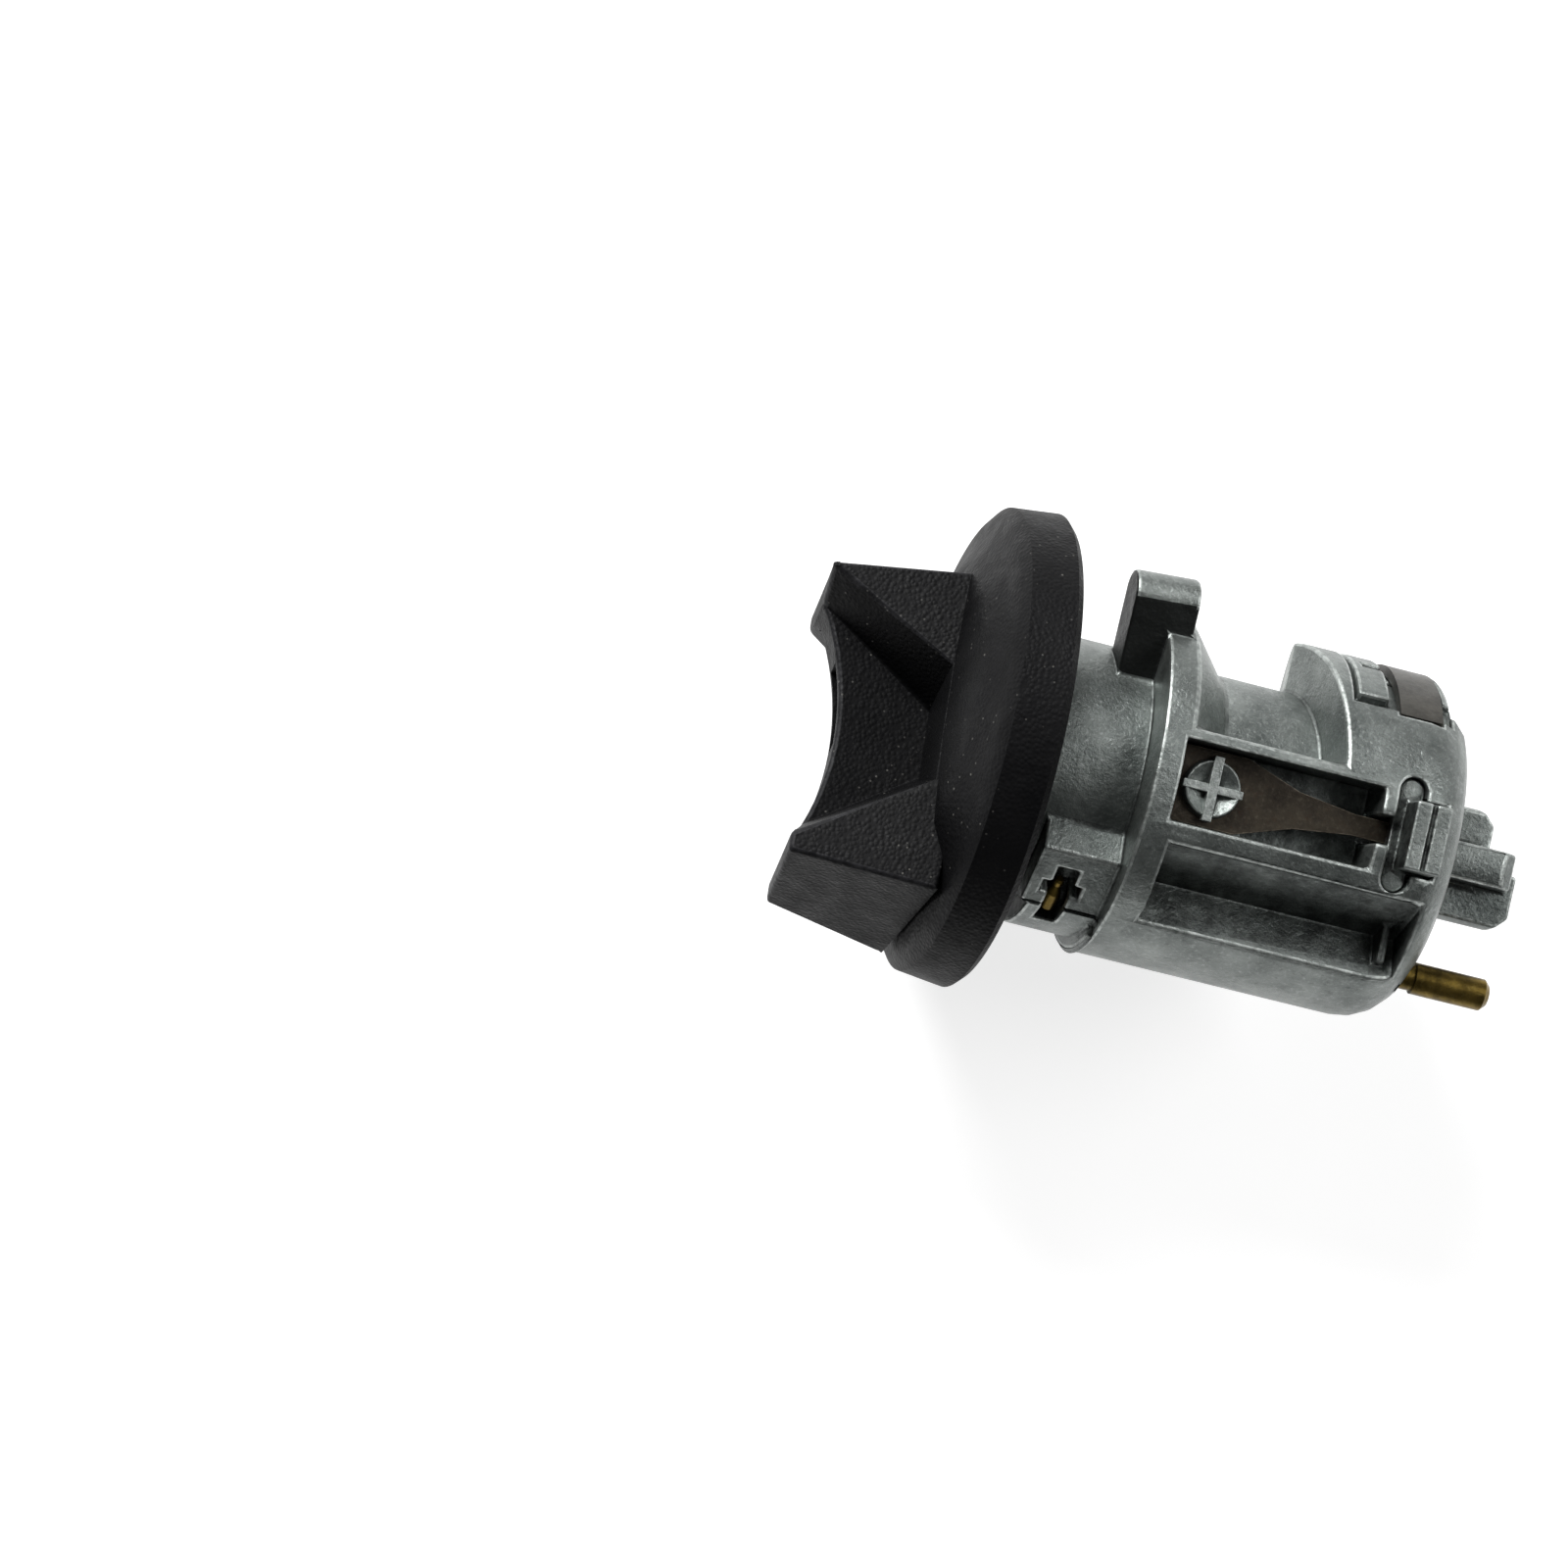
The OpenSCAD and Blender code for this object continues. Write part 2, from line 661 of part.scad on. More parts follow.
// Wafer: flat plate with a key window and a side lug.
module wafer(i) {
  color(brass) rotate([grip_turn, 0, 0]) translate([wafer_first + (i - 1) * wafer_pitch, 0, 0])
    difference() {
      union() {
        intersection() {
          block([-wafer_t / 2, -wafer_w / 2, -wafer_r], [wafer_t / 2, wafer_w / 2, wafer_r]);
          axial(-wafer_t, wafer_t, wafer_r);
        }
        block([-wafer_t / 2, 0, 2.4], [wafer_t / 2, 4.9, 3.6]);
      }
      block([-wafer_t, -keyway_w / 2 - 0.1, -keyway_l / 2 - wafer_travel],
            [wafer_t, keyway_w / 2 + 0.1, keyway_l / 2 + wafer_travel]);
    }
}

// Coil along +Z: half rings tilted so that each one meets the next.
module coil(r, wire, h, turns) {
  rise = h / turns / 2;
  tilt = asin(rise / 2 / r);
  for (i = [0:2 * turns - 1])
    translate([0, 0, (i + 0.5) * rise])
      rotate([0, i % 2 == 0 ? tilt : -tilt, 0]) rotate([0, 0, i % 2 * 180])
        rotate_extrude(angle = 180) translate([r, 0]) circle(r = wire);
}

module wafer_spring(i) {
  color(steel) rotate([grip_turn, 0, 0])
    translate([wafer_first + (i - 1) * wafer_pitch, 4.3, -2.9]) coil(wafer_coil_r, wafer_wire / 2, 4.6, 5);
}

// Room in the plug's front for the shutter to swing, with holes for its pin's ends.
module shutter_room() {
  half = shutter_l / 2 + free_gap;
  block([plug_front - 1, -shutter_t - keyway_w / 2, -half],
        [shutter_x + shutter_reach + free_gap, shutter_y + shutter_eye_r + free_gap, half]);
  translate([shutter_x, shutter_y, -half - shutter_pin_end])
    cylinder(r = shutter_pin_r + run_gap, h = 2 * (half + shutter_pin_end));
}

// Shutter: dust flap behind the key slot, hinged on its pin.
module shutter() {
  color(steel) rotate([grip_turn, 0, 0]) translate([shutter_x, shutter_y, 0]) difference() {
    union() {
      translate([0, 0, -shutter_l / 2]) cylinder(r = shutter_eye_r, h = shutter_l);
      block([-shutter_t / 2, -shutter_reach, -shutter_l / 2], [shutter_t / 2, 0, shutter_l / 2]);
    }
    translate([0, 0, -shutter_l]) cylinder(r = shutter_pin_r + run_gap, h = 2 * shutter_l);
    block([-2, -shutter_eye_r - slide_gap, -shutter_eye_gap], [2, 2, shutter_eye_gap]);
  }
}

module shutter_pin() {
  length = shutter_l + 2 * (free_gap + shutter_pin_end - slide_gap);
  color(steel) rotate([grip_turn, 0, 0]) translate([shutter_x, shutter_y, -length / 2])
    cylinder(r = shutter_pin_r, h = length);
}

module shutter_spring() {
  length = 2 * (shutter_eye_gap - slide_gap);
  color(steel) rotate([grip_turn, 0, 0]) translate([shutter_x, shutter_y, -length / 2])
    coil(shutter_pin_r + 0.25, shutter_wire / 2, length, 5);
}

// Retaining clip: band over the drum with a leg into the plug's groove.
module retaining_clip() {
  color(steel) {
    sector(clip_front, clip_front + clip_w, clip_in_r, drum_r - 0.1, 360 - clip_leg - 2, 360 - clip_end);
    rotate([-clip_leg, 0, 0])
      block([clip_front + (clip_w - clip_leg_w) / 2, -clip_t / 2, plug_r - groove_depth + free_gap],
            [clip_front + (clip_w + clip_leg_w) / 2, clip_t / 2, drum_r - 0.6]);
  }
}

// Latch: plate in the slot with a ribbed button behind it.
module latch() {
  half = (slot_l - slot_w) / 2;
  plate_r = slot_w / 2 - slide_gap;
  plate_top = button_foot + free_gap;
  color(zinc) {
    for (side = [-1, 1])
      translate([slot_x, side * half, latch_foot]) cylinder(r = plate_r, h = plate_top - latch_foot);
    block([slot_x - plate_r, -half, latch_foot], [slot_x + plate_r, half, plate_top]);
    block([button_front, -button_w / 2, button_foot], [button_rear, button_w / 2, button_top - rib_h]);
    for (x = [button_front, button_rear - rib_w])
      block([x, -button_w / 2, button_foot], [x + rib_w, button_w / 2, button_top]);
  }
}

// Leaf spring: blade under the window with a tongue below the latch.
module leaf_spring() {
  blade_front = window_front + 0.3;
  half = window_half_w - 0.3;
  color(brown_steel) difference() {
    translate([0, 0, leaf_z]) linear_extrude(leaf_t) polygon([
      [blade_front, -half], [taper_front, -half], [taper_mid, -taper_half_w], [taper_rear, -tongue_w / 2],
      [slot_x + 0.6, -tongue_w / 2], [slot_x + 0.6, tongue_w / 2], [taper_rear, tongue_w / 2],
      [taper_mid, taper_half_w], [taper_front, half], [blade_front, half]
    ]);
    translate([post_x, 0, leaf_z - 1]) cylinder(r = post_r + run_gap, h = 3);
  }
}

// Key rod: brass rod along the underside, standing out of the rear.
module key_rod() {
  color(brass) rotate([rod_turn, 0, 0]) translate([0, 0, rod_off]) {
    axial(rod_front, housing_rear + 1, rod_in_r);
    axial(housing_rear + free_gap, rod_rear - rod_chamfer, rod_r);
    translate([rod_rear - rod_chamfer, 0, 0]) rotate([0, 90, 0])
      cylinder(r1 = rod_r, r2 = rod_r - rod_chamfer, h = rod_chamfer);
    axial(rod_spring_front - 1.6, rod_spring_front, rod_shoulder_r);
  }
}

module rod_spring() {
  color(steel) rotate([rod_turn, 0, 0]) translate([rod_spring_front + 0.3, 0, rod_off])
    rotate([0, 90, 0]) coil(rod_r + 0.55, 0.22, rod_spring_rear - rod_spring_front - 0.6, 6);
}

// Key plunger: turned brass pin with a necked tip, in the channel of the front block.
module key_plunger() {
  height = block_face - channel_depth + plunger_r + free_gap;
  color(brass) rotate([block_turn, 0, 0]) translate([channel_x, -plunger_start, height])
    rotate([-90, 0, 0]) rotate_extrude()
      polygon([[0, 0], [plunger_r, 0], [plunger_r, plunger_l * 0.5], [plunger_neck_r, plunger_l * 0.74],
               [plunger_tip_r, plunger_l * 0.8], [plunger_tip_r, plunger_l * 0.92],
               [plunger_neck_r, plunger_l], [0, plunger_l]]);
}

housing();
knob();
knob_pin();
plug();
wafer(1);  // wafer_1
wafer(2);  // wafer_2
wafer(3);  // wafer_3
wafer(4);  // wafer_4
wafer(5);  // wafer_5
wafer(6);  // wafer_6
wafer(7);  // wafer_7
wafer_spring(1);  // wafer_spring_1
wafer_spring(2);  // wafer_spring_2
wafer_spring(3);  // wafer_spring_3
wafer_spring(4);  // wafer_spring_4
wafer_spring(5);  // wafer_spring_5
wafer_spring(6);  // wafer_spring_6
wafer_spring(7);  // wafer_spring_7
retaining_clip();
latch();
leaf_spring();
key_rod();
rod_spring();
key_plunger();
shutter();
shutter_pin();
shutter_spring();
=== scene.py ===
import json
import math

import bmesh
import bpy
from mathutils import Matrix, Vector
from mathutils.bvhtree import BVHTree


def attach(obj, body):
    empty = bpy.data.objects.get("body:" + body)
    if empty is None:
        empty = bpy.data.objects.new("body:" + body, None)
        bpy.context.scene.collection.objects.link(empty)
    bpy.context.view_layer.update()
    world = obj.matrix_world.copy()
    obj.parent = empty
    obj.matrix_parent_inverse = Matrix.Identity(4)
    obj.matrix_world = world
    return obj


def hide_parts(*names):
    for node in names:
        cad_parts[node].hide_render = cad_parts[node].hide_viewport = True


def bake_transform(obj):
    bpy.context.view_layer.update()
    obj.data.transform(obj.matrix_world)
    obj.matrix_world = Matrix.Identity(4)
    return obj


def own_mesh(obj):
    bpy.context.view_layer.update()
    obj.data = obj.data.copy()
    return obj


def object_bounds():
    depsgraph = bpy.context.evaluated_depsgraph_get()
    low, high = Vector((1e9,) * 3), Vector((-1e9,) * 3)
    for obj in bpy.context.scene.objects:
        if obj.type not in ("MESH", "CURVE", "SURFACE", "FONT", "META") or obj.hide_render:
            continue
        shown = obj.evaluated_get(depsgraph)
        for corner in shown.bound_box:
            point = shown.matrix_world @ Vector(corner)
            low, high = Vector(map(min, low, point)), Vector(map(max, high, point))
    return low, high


mm = 0.001
weld = 0.002 * mm  # points closer than this are one
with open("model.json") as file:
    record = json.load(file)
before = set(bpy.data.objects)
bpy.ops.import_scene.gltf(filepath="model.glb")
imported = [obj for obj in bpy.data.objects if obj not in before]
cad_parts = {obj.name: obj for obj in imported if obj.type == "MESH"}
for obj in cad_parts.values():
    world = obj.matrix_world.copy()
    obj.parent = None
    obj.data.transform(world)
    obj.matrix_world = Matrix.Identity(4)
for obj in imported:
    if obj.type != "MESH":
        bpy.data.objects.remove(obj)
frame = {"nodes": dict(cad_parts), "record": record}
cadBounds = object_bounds()
nodes = frame["nodes"]
slotOf = {part["node"]: part["material_slot"] for part in frame["record"]["subparts"]}
print("frame loaded:", len(nodes), "nodes")


def hexColor(text):  # sRGB hex to linear
    parts = [int(text[i:i + 2], 16) / 255 for i in (1, 3, 5)]
    return [c / 12.92 if c <= 0.04045 else ((c + 0.055) / 1.055) ** 2.4 for c in parts] + [1.0]


def addNode(tree, kind, inputs=None, **settings):
    node = tree.nodes.new(kind)
    for key, value in settings.items():
        setattr(node, key, value)
    for key, value in (inputs or {}).items():
        if isinstance(value, bpy.types.NodeSocket):
            tree.links.new(value, node.inputs[key])
        else:
            node.inputs[key].default_value = value
    return node


def startMaterial(name):
    material = bpy.data.materials.new(name)
    material.use_nodes = True
    tree = material.node_tree
    place = addNode(tree, "ShaderNodeTexCoord").outputs["Object"]
    return material, tree, tree.nodes["Principled BSDF"], place


def spread(tree, place, sizeMm, between, gives, seed):  # a value that drifts over patches about sizeMm wide
    moved = addNode(tree, "ShaderNodeMapping", {"Vector": place, "Location": (seed, seed * 0.7, seed * 0.3)})
    field = addNode(tree, "ShaderNodeTexNoise", {"Vector": moved.outputs["Vector"], "Scale": 1000 / sizeMm,
                                                 "Detail": 6.0, "Roughness": 0.65})
    drift = addNode(tree, "ShaderNodeMapRange", {"Value": field.outputs["Fac"],
                                                 "From Min": between[0], "From Max": between[1],
                                                 "To Min": gives[0], "To Max": gives[1]})
    return drift.outputs["Result"]


def overlay(tree, body, color, amount, mark=None):  # colour laid over the body, or over its marked faces only
    if mark:
        faces = addNode(tree, "ShaderNodeAttribute", attribute_name=mark)
        amount = addNode(tree, "ShaderNodeMath", {0: amount, 1: faces.outputs["Fac"]},
                         operation="MULTIPLY").outputs["Value"]
    mixed = addNode(tree, "ShaderNodeMix", {0: amount, 6: body, 7: hexColor(color)}, data_type="RGBA")
    return mixed.outputs[2]


metalMm = {"glint": 0.5, "pit": 1.1, "rub": 0.9, "shadePatch": 2.2, "dull": 5, "wave": 2.6}  # widths of patches


def castMetal(look):  # mottled metal: light and dark patches, painted glints, pits, worn edges, painted shade in corners and marked places
    material, tree, shader, place = startMaterial(look["name"])
    patches = spread(tree, place, look["patchMm"], between=(0.34, 0.68), gives=(0, 1), seed=0)
    # painted glints: small bright specks in the worn colour, standing in for sparkling highlights
    glints = spread(tree, place, metalMm["glint"], between=(0.52, 0.78), gives=(0, look["glint"]), seed=3.1)
    pits = spread(tree, place, metalMm["pit"], between=(0.56, 0.74), gives=(0, look["pitting"]), seed=6.4)
    rubbed = spread(tree, place, metalMm["rub"], between=(0.36, 0.62), gives=(0.1, 1), seed=8.3)
    # breaks up the painted shade into patches
    shadeBreakup = spread(tree, place, metalMm["shadePatch"], between=(0.38, 0.62), gives=(0.15, 1), seed=7.7)
    body = overlay(tree, hexColor(look["dark"]), look["light"], patches)
    body = overlay(tree, body, look["worn"], glints)
    body = overlay(tree, body, look["pit"], pits)
    body = overlay(tree, body, look["worn"], rubbed, "wear")
    # painted shade: a dark colour laid on faces marked as shaded corners and recesses
    body = overlay(tree, body, look["paintedShade"], shadeBreakup, "paintedShade")
    tree.links.new(body, shader.inputs["Base Color"])
    shader.inputs["Metallic"].default_value = look["metallic"]
    dull = spread(tree, place, metalMm["dull"], between=(0.3, 0.7),
                  gives=(look["rough"] - 0.1, look["rough"] + 0.1), seed=1.7)
    tree.links.new(dull, shader.inputs["Roughness"])
    fine = spread(tree, place, look["grainMm"], between=(0.2, 0.8), gives=(0, 1), seed=5.3)
    broad = spread(tree, place, metalMm["wave"], between=(0.2, 0.8), gives=(0, 1), seed=9.1)
    grain = addNode(tree, "ShaderNodeBump", {"Height": fine, "Strength": 0.5,
                                             "Distance": look["grainDeep"] * mm})
    waves = addNode(tree, "ShaderNodeBump", {"Height": broad, "Normal": grain.outputs["Normal"],
                                             "Strength": 0.55, "Distance": look["waveDeep"] * mm})
    tree.links.new(waves.outputs["Normal"], shader.inputs["Normal"])
    return material


coatMm = {"cloud": 6, "rub": 1.3, "dust": 9, "dull": 3}  # widths of patches


def texturedCoat(look):  # black powder coat: fine leather grain, dust in patches, greyer edges
    material, tree, shader, place = startMaterial(look["name"])
    clouds = spread(tree, place, coatMm["cloud"], between=(0.32, 0.7), gives=(0, 1), seed=0)
    rubbed = spread(tree, place, coatMm["rub"], between=(0.36, 0.66), gives=(0.1, 0.75), seed=4.4)
    dusty = spread(tree, place, coatMm["dust"], between=(0.42, 0.6), gives=(0, look["dusty"]), seed=2.7)
    specks = addNode(tree, "ShaderNodeTexVoronoi", {"Vector": place, "Scale": 1000 / look["speckMm"]})
    near = addNode(tree, "ShaderNodeMapRange", {"Value": specks.outputs["Distance"], "From Min": 0.12,
                                                "From Max": 0.06})
    dust = addNode(tree, "ShaderNodeMath", {0: near.outputs["Result"], 1: dusty}, operation="MULTIPLY")
    body = overlay(tree, hexColor(look["deep"]), look["soft"], clouds)
    body = overlay(tree, body, look["worn"], rubbed, "wear")
    body = overlay(tree, body, look["dust"], dust.outputs["Value"])
    tree.links.new(body, shader.inputs["Base Color"])
    shader.inputs["Specular IOR Level"].default_value = look["specular"]
    dull = spread(tree, place, coatMm["dull"], between=(0.3, 0.7), gives=look["rough"], seed=2.2)
    tree.links.new(dull, shader.inputs["Roughness"])
    cells = addNode(tree, "ShaderNodeTexVoronoi", {"Vector": place, "Scale": 1000 / look["grainMm"]})
    domes = addNode(tree, "ShaderNodeMapRange", {"Value": cells.outputs["Distance"], "From Min": 0.1,
                                                 "From Max": 0.7, "To Min": 1.0, "To Max": 0.0})
    grain = addNode(tree, "ShaderNodeBump", {"Height": domes.outputs["Result"], "Strength": 0.6,
                                             "Distance": look["grainDeep"] * mm})
    tree.links.new(grain.outputs["Normal"], shader.inputs["Normal"])
    return material


zincLook = {"name": "zinc_die_cast", "dark": "#5a5f5d", "light": "#858a87", "worn": "#c0c5c2",
            "paintedShade": "#2c2e2d", "pit": "#3b3e3c", "patchMm": 9, "glint": 0.35, "pitting": 0.5, "metallic": 0.92,
            "rough": 0.4, "grainMm": 0.4, "grainDeep": 0.1,
            "waveDeep": 0.18}  # as cast, matt grey, bright where it rubs
coatLook = {"name": "black_powder_coat", "deep": "#040405", "soft": "#0a0a0b", "worn": "#29292b",
            "dust": "#86847f", "dusty": 0.35, "speckMm": 1.3, "specular": 0.09, "rough": (0.44, 0.6),
            "grainMm": 0.5, "grainDeep": 0.07}  # baked on over a moulded grain, nearly black and dull
springLook = {"name": "brown_spring_steel", "dark": "#1f1a15", "light": "#3d372d", "worn": "#877f71",
              "paintedShade": "#241c15", "pit": "#33261c", "patchMm": 4, "glint": 0.15, "pitting": 0.7,
              "metallic": 0.75, "rough": 0.48, "grainMm": 0.6, "grainDeep": 0.04,
              "waveDeep": 0.05}  # tempered brown, rubbed paler
steelLook = {"name": "dull_steel_strip", "dark": "#2f2e2b", "light": "#4d4b46", "worn": "#8a887e",
             "paintedShade": "#2b2a28", "pit": "#3d3a35", "patchMm": 4, "glint": 0.1, "pitting": 0.4, "metallic": 0.85,
             "rough": 0.42, "grainMm": 0.4, "grainDeep": 0.03,
             "waveDeep": 0.04}  # rolled strip, grey-brown and even
brassLook = {"name": "dull_turned_brass", "dark": "#4a3d1a", "light": "#826d33", "worn": "#c3ae6c",
             "paintedShade": "#33270f", "pit": "#4c3a16", "patchMm": 3, "glint": 0.2, "pitting": 0.5, "metallic": 0.95,
             "rough": 0.36, "grainMm": 0.3, "grainDeep": 0.03,
             "waveDeep": 0.03}  # turned, gone dull, browner in patches
finish = {"zinc": castMetal(zincLook), "black_coat": texturedCoat(coatLook),
          "spring_steel": castMetal(springLook), "steel": castMetal(steelLook), "brass": castMetal(brassLook)}
for name, node in nodes.items():
    node.data.materials.clear()
    node.data.materials.append(finish[slotOf[name]])
print("materials made:", len(finish))


flatAngle = math.radians(0.5)  # faces that differ by less are one
creaseAngle = math.radians(40)  # edges that turn by more stay sharp to the eye


def softened(node, rounds, paintShade=None, cuts=(), added=None):  # the CAD node with its sharp edges rounded
    mesh = bmesh.new()
    mesh.from_mesh(nodes[node].data)
    bmesh.ops.remove_doubles(mesh, verts=mesh.verts[:], dist=weld)
    surface = BVHTree.FromBMesh(mesh)
    bmesh.ops.dissolve_limit(mesh, angle_limit=flatAngle, verts=mesh.verts[:], edges=mesh.edges[:])
    wear = mesh.faces.layers.float.new("wear")
    paintedShade = mesh.faces.layers.float.new("paintedShade")
    for look in rounds:
        sharp = [edge for edge in mesh.edges if edge.is_manifold
                 and edge.calc_face_angle() > math.radians(look["angle"])
                 and look["only"] in ("both", "outer" if edge.is_convex else "inner")
                 and look["where"]((edge.verts[0].co + edge.verts[1].co) / 2 / mm)]
        made = bmesh.ops.bevel(mesh, geom=sharp, offset=look["round"] * mm, offset_type="OFFSET", profile=0.5,
                               segments=look["segments"], affect="EDGES", clamp_overlap=False, material=-1,
                               loop_slide=True)
        for face in made["faces"]:  # an edge sinks below the old surface and wears, a filled corner gets painted shade
            center = face.calc_center_median()
            place, normal, _, _ = surface.find_nearest(center)
            face[wear if (center - place).dot(normal) < 0 else paintedShade] = look["mark"]
    widest = max([look["round"] for look in rounds], default=1) * mm
    for vert in mesh.verts:  # a corner thrown off by a short edge goes back to the surface
        place, _, _, gap = surface.find_nearest(vert.co)
        if gap > widest:
            vert.co = place
    for x in cuts:
        bmesh.ops.bisect_plane(mesh, geom=mesh.verts[:] + mesh.edges[:] + mesh.faces[:],
                               plane_co=(x * mm, 0, 0), plane_no=(1, 0, 0))
    bmesh.ops.remove_doubles(mesh, verts=mesh.verts[:], dist=weld)
    bmesh.ops.dissolve_degenerate(mesh, dist=weld, edges=mesh.edges[:])
    bmesh.ops.triangulate(mesh, faces=[face for face in mesh.faces if len(face.verts) > 4])
    if added:
        added(mesh, wear, paintedShade)
    for face in mesh.faces:
        face.smooth = True
        # painted shade from the given function, laid on the faces it picks
        if paintShade:
            face[paintedShade] = max(face[paintedShade], paintShade(face.calc_center_median() / mm, face.normal))
    for edge in mesh.edges:
        edge.smooth = not edge.is_manifold or edge.calc_face_angle() < creaseAngle
    data = bpy.data.meshes.new(node + "_soft")
    mesh.to_mesh(data)
    mesh.free()
    data.materials.append(finish[slotOf[node]])
    piece = bpy.data.objects.new(node + "_soft", data)
    bpy.context.scene.collection.objects.link(piece)
    piece.modifiers.new("evenNormals", "WEIGHTED_NORMAL").keep_sharp = True
    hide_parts(node)
    return piece


def offAxis(p):
    return math.hypot(p.y, p.z)


def everywhere(p):
    return True


def within(value, ends):
    return ends[0] < value < ends[1]


grip = {"turn": 71.6, "rear": -23, "slotWide": 2, "slotTall": 5.2}  # degrees and mm, the wings at rest


def knobWings(p):  # the grip's edges without those of the key slot
    turn = math.radians(grip["turn"])
    aside = p.y * math.cos(turn) + p.z * math.sin(turn)
    up = p.z * math.cos(turn) - p.y * math.sin(turn)
    return p.x < grip["rear"] and not (abs(aside) < grip["slotWide"] and abs(up) < grip["slotTall"])


knobRounds = [{"round": 0.5, "only": "outer", "segments": 3, "angle": 26, "mark": 1.0, "where": knobWings},
              {"round": 0.4, "only": "inner", "segments": 3, "angle": 26, "mark": 0.5, "where": knobWings}]
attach(softened("knob", knobRounds), "rotor")

post = {"x": 7.4, "half": 4.2, "foot": 14.8, "below": 18}  # mm, the post that holds the leaf spring
cast = {"bore": 8.5, "cornerX": (2.4, 5.2), "cornerY": (-15.2, -12.4), "cornerFoot": 13}  # mm
# shadeAmount: how much painted shade the faces get in the well, the pocket and on the ear
well = {"x": (12, 26.2), "half": 4.7, "top": 15, "shadeAmount": 0.8}
pocket = {"x": (3, 33), "side": -7, "foot": 9, "radius": 19, "shadeAmount": 0.7}
ear = {"foot": 11.2, "rear": 5, "front": -4, "low": 5, "shadeAmount": 8.0}


def stakedPost(p):
    return abs(p.x - post["x"]) < post["half"] and abs(p.y) < post["half"] and p.z > post["foot"]


def castOutside(p):  # all but the bore, the post and one crowded corner
    corner = within(p.x, cast["cornerX"]) and within(p.y, cast["cornerY"]) and p.z > cast["cornerFoot"]
    return offAxis(p) > cast["bore"] and not stakedPost(p) and not corner


def earSides(p, n):  # the ear's flank towards the latch and its front face
    flank = n.z > 0.85 and n.y < -0.2
    front = p.x < ear["front"] and p.z > ear["low"] and n.x < -0.8
    return p.y > ear["foot"] and p.x < ear["rear"] and (flank or front)


def housingShade(p, n):  # painted shade in the spring well, in the side pocket and on the ear's flank and front
    if within(p.x, well["x"]) and abs(p.y) < well["half"] and p.z < well["top"]:
        return well["shadeAmount"]
    inPocket = p.y < pocket["side"] and p.z > pocket["foot"] and offAxis(p) < pocket["radius"]
    if inPocket and within(p.x, pocket["x"]):
        return pocket["shadeAmount"]
    return ear["shadeAmount"] if earSides(p, n) else 0.0


# dark: painted shade laid on the funnel's rings that lie deeper than darkBelow
postHead = {"height": 0.8, "outline": ((3.2, -0.2), (3.1, -0.02), (2.95, 0.02), (2.8, -0.06), (2.5, -0.25),
                                       (1.4, -0.75), (0.2, -1.3)),  # radius, and mm over the plain head's top
            "bars": ((3.5, 0.48, 0.04), (0.58, 3.65, 0.12)), "barDeep": 1.3, "barRound": 0.12,
            "barWear": 0.45, "dark": 0.5, "darkBelow": -0.5}


def stakedHead(mesh, wear, paintedShade):  # a hollow funnel with two bars standing across it
    heights = [vert.co.z / mm for vert in mesh.verts if stakedPost(vert.co / mm)]
    top = max(z for z in heights if z < post["below"])
    plain = [face for face in mesh.faces if stakedPost(face.calc_center_median() / mm)
             and abs(face.calc_center_median().z / mm - top) < postHead["height"]]
    bmesh.ops.delete(mesh, geom=plain, context="FACES")
    rim = [edge for edge in mesh.edges if edge.is_boundary]
    below = -postHead["height"]
    for radius, z in postHead["outline"]:  # from the opened rim inwards
        made = bmesh.ops.extrude_edge_only(mesh, edges=rim)["geom"]
        for vert in [item for item in made if isinstance(item, bmesh.types.BMVert)]:
            turn = math.atan2(vert.co.y, vert.co.x - post["x"] * mm)
            vert.co = Vector((post["x"] + radius * math.cos(turn), radius * math.sin(turn), top + z)) * mm
        for face in [item for item in made if isinstance(item, bmesh.types.BMFace)]:
            face[wear] = 0  # an extruded face takes its neighbour's mark
            # painted shade on the rings that lie deeper in the funnel
            face[paintedShade] = postHead["dark"] * (below < postHead["darkBelow"])
        rim = [item for item in made if isinstance(item, bmesh.types.BMEdge) and item.is_boundary]
        below = z
    bmesh.ops.holes_fill(mesh, edges=rim, sides=0)
    for halfX, halfY, above in postHead["bars"]:
        place = Vector((post["x"], 0, top + above - postHead["barDeep"] / 2)) * mm
        shape = Matrix.Diagonal((2 * halfX * mm, 2 * halfY * mm, postHead["barDeep"] * mm, 1))
        bar = bmesh.ops.create_cube(mesh, size=1, matrix=Matrix.Translation(place) @ shape)["verts"]
        edges = list({edge for vert in bar for edge in vert.link_edges})
        made = bmesh.ops.bevel(mesh, geom=edges, offset=postHead["barRound"] * mm, offset_type="OFFSET",
                               profile=0.5, segments=2, affect="EDGES", clamp_overlap=True, material=-1)
        for face in {face for vert in made["verts"] for face in vert.link_faces}:
            face[wear] = postHead["barWear"]
    mesh.normal_update()


housingRounds = [{"round": 0.4, "only": "both", "segments": 2, "angle": 22, "mark": 0.65, "where": castOutside},
                 {"round": 0.14, "only": "both", "segments": 2, "angle": 30, "mark": 1.0, "where": stakedPost}]
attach(softened("housing", housingRounds, housingShade, added=stakedHead), "housing")

button = {"plateTop": 18.5, "plateHalf": 4.5, "frontShade": 1.1, "grooveX": 31.2, "grooveHalf": 0.3,
          "grooveFoot": 21, "grooveShade": 0.9}  # mm, and how much painted shade


def latchShade(p, n):  # painted shade on the button's front, on the plate before it and in the groove over its top
    plate = n.z > 0.9 and p.z < button["plateTop"] and abs(p.y) < button["plateHalf"]
    groove = p.z > button["grooveFoot"] and abs(p.x - button["grooveX"]) < button["grooveHalf"]
    if n.x < -0.8 or plate:
        return button["frontShade"]
    return button["grooveShade"] if groove else 0.0


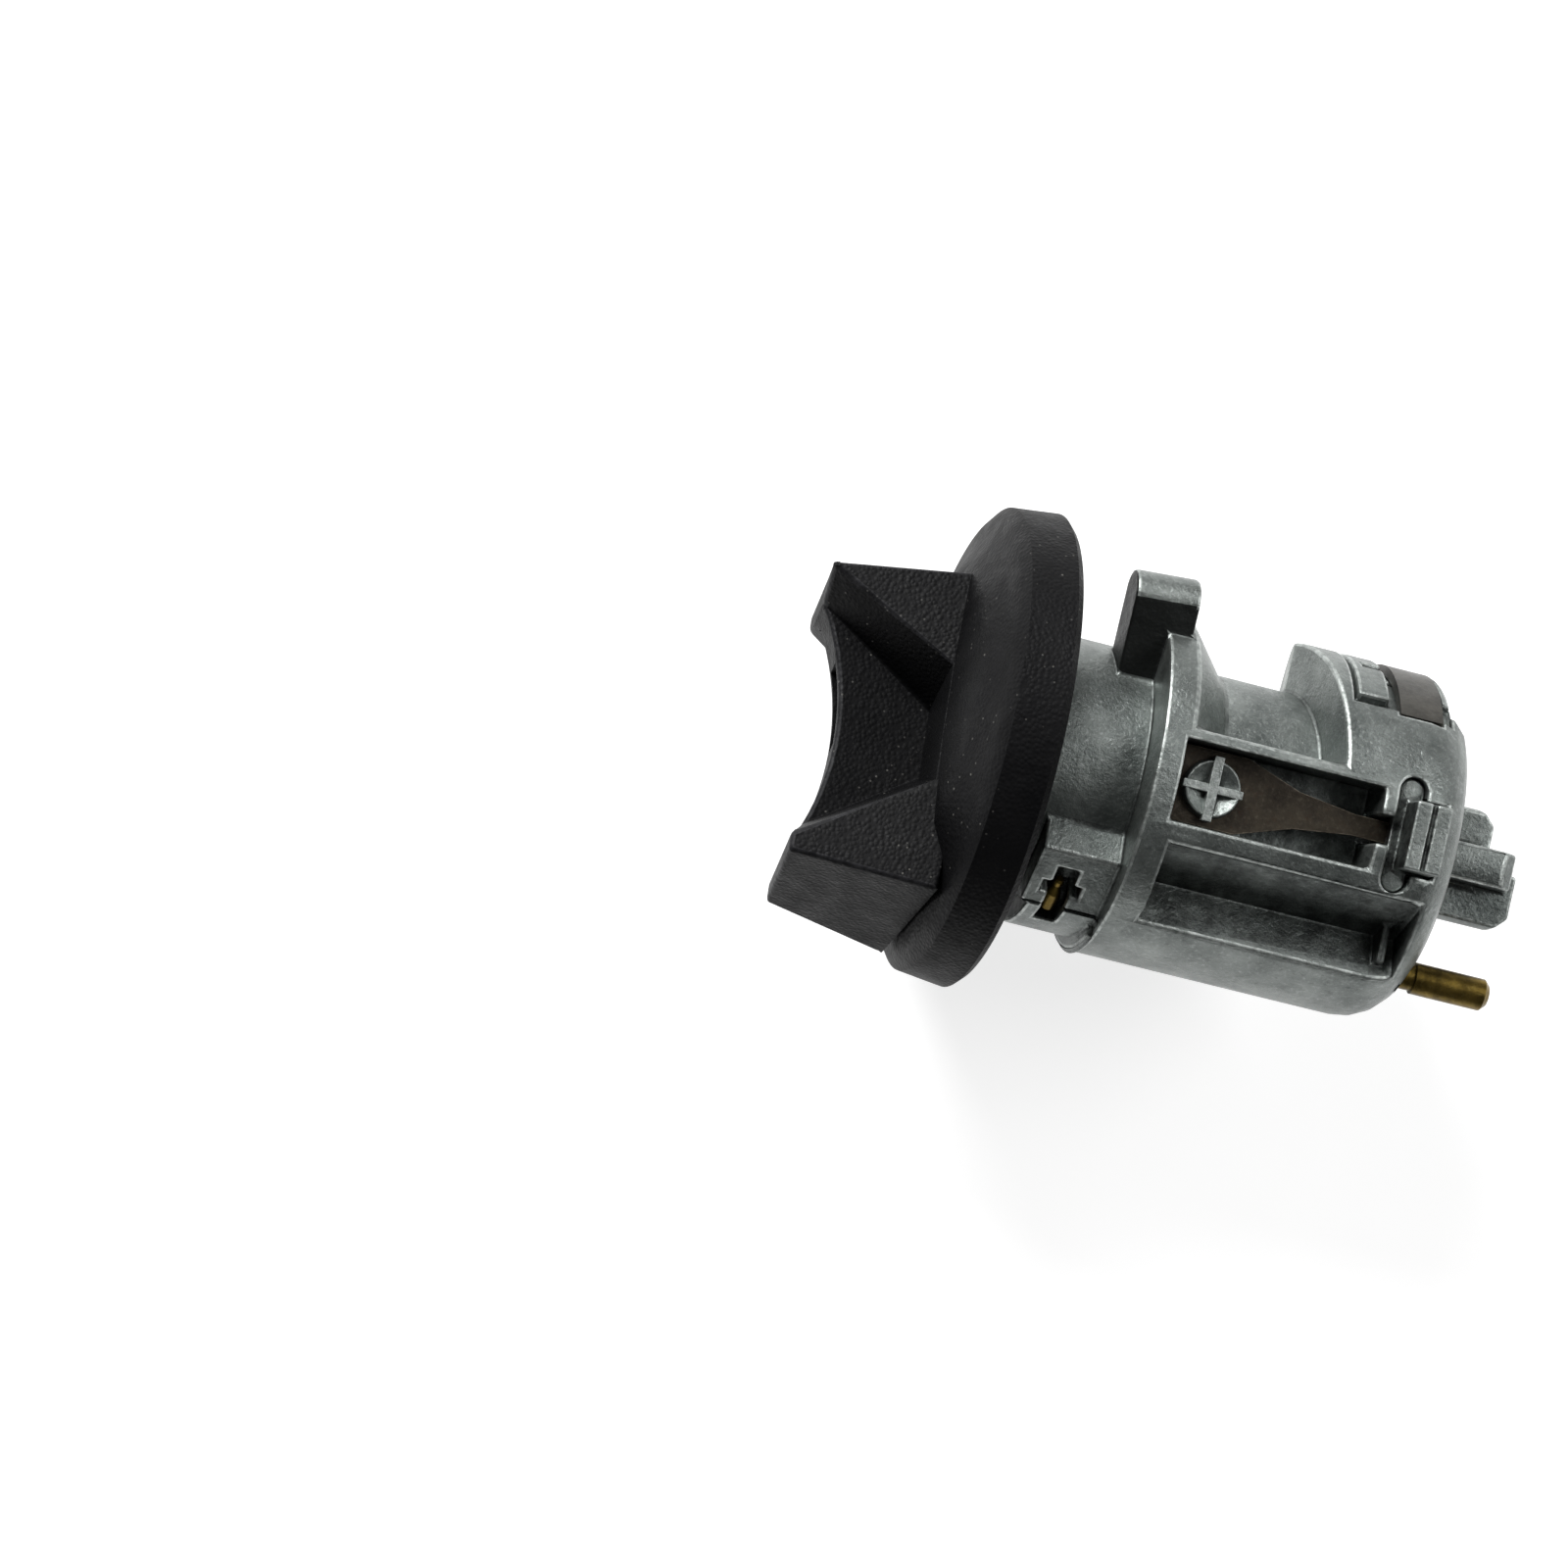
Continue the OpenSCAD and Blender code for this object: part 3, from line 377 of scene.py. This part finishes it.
latchRounds = [{"round": 0.3, "only": "both", "segments": 3, "angle": 22, "mark": 0.4, "where": everywhere}]
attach(softened("latch", latchRounds, latchShade), "latch")

tangFront = 36.9  # mm


def onTang(p):
    return p.x > tangFront


tangRounds = [{"round": 0.35, "only": "both", "segments": 2, "angle": 22, "mark": 0.8, "where": onTang}]
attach(softened("plug", tangRounds), "rotor")

leafBend = {"from": 11, "to": 28}  # mm along the blade: held by the post, then carried by the latch
leafRounds = [{"round": 0.1, "only": "outer", "segments": 2, "angle": 40, "mark": 0.6, "where": everywhere}]
leaf = softened("leaf_spring", leafRounds, cuts=range(leafBend["from"], leafBend["to"]))
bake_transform(leaf)

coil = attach(softened("rod_spring", []), "housing")
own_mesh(coil)
print("edges rounded")

photoView = {"roll": 13.9, "tilt": 11.5, "lean": 4.6, "aimMm": (-12.4, 0, 0), "shiftMm": (-24.68, 3.6),
             "far": 1.0, "lens": 206.4, "sensor": 36}  # degrees, mm, and metres from the part
roll, tilt, lean = (math.radians(photoView[key]) for key in ("roll", "tilt", "lean"))
toward = Vector((-math.sin(tilt), -math.cos(tilt) * math.sin(lean), math.cos(tilt) * math.cos(lean)))
along = Vector((math.cos(tilt), -math.sin(tilt) * math.sin(lean), math.sin(tilt) * math.cos(lean)))
across = Vector((0, -math.cos(lean), -math.sin(lean)))
right = along * math.cos(roll) - across * math.sin(roll)
down = along * math.sin(roll) + across * math.cos(roll)
shift = right * photoView["shiftMm"][0] + down * photoView["shiftMm"][1]
camera = bpy.data.objects.new("camera", bpy.data.cameras.new("camera"))
bpy.context.scene.collection.objects.link(camera)
camera.matrix_world = Matrix((right, -down, toward)).transposed().to_4x4()
camera.location = (Vector(photoView["aimMm"]) + shift) * mm + toward * photoView["far"]
camera.data.lens = photoView["lens"]
camera.data.sensor_width = photoView["sensor"]
camera.data.clip_end = 20
bpy.context.scene.camera = camera
print("camera placed")

tableLook = {"sizeM": 4.0, "white": "#bdbdbd", "shade": "#b6b6b6", "patchMm": 60, "rough": 0.85, "gapMm": 0.4,
             "glow": 0.76}  # white light table, so shadows stay faint
tableTop, tableTree, tableShader, tablePlace = startMaterial("matt_white_table")
tablePatches = spread(tableTree, tablePlace, tableLook["patchMm"], between=(0.3, 0.7), gives=(0, 1), seed=0)
tableBody = overlay(tableTree, hexColor(tableLook["white"]), tableLook["shade"], tablePatches)
tableTree.links.new(tableBody, tableShader.inputs["Base Color"])
tableShader.inputs["Roughness"].default_value = tableLook["rough"]
tableShader.inputs["Emission Color"].default_value = (1, 1, 1, 1)
tableShader.inputs["Emission Strength"].default_value = tableLook["glow"]
sheet = bmesh.new()
bmesh.ops.create_grid(sheet, x_segments=1, y_segments=1, size=tableLook["sizeM"])
bmesh.ops.translate(sheet, verts=sheet.verts[:], vec=(0, 0, cadBounds[0][2] - tableLook["gapMm"] * mm))
table = bpy.data.objects.new("table", bpy.data.meshes.new("table"))
sheet.to_mesh(table.data)
sheet.free()
table.data.materials.append(tableTop)
bpy.context.scene.collection.objects.link(table)

lamps = {"softbox": {"place": (-0.65, 0.85, 0.68), "size": 0.7, "watts": 31},
         "fill": {"place": (0.75, 0.35, 0.8), "size": 0.7, "watts": 6}}
for name, lamp in lamps.items():
    light = bpy.data.lights.new(name, "AREA")
    light.shape = "DISK"
    light.size = lamp["size"]
    light.energy = lamp["watts"]
    holder = bpy.data.objects.new(name, light)
    holder.location = lamp["place"]
    holder.rotation_euler = (-Vector(lamp["place"])).to_track_quat("-Z", "Y").to_euler()
    bpy.context.scene.collection.objects.link(holder)
roomGlow = 0.12
world = bpy.data.worlds.new("studio")
world.use_nodes = True
world.node_tree.nodes["Background"].inputs["Color"].default_value = (1, 1, 1, 1)
world.node_tree.nodes["Background"].inputs["Strength"].default_value = roomGlow
bpy.context.scene.world = world
bpy.context.scene.view_settings.view_transform = "Standard"
print("table and lights set")
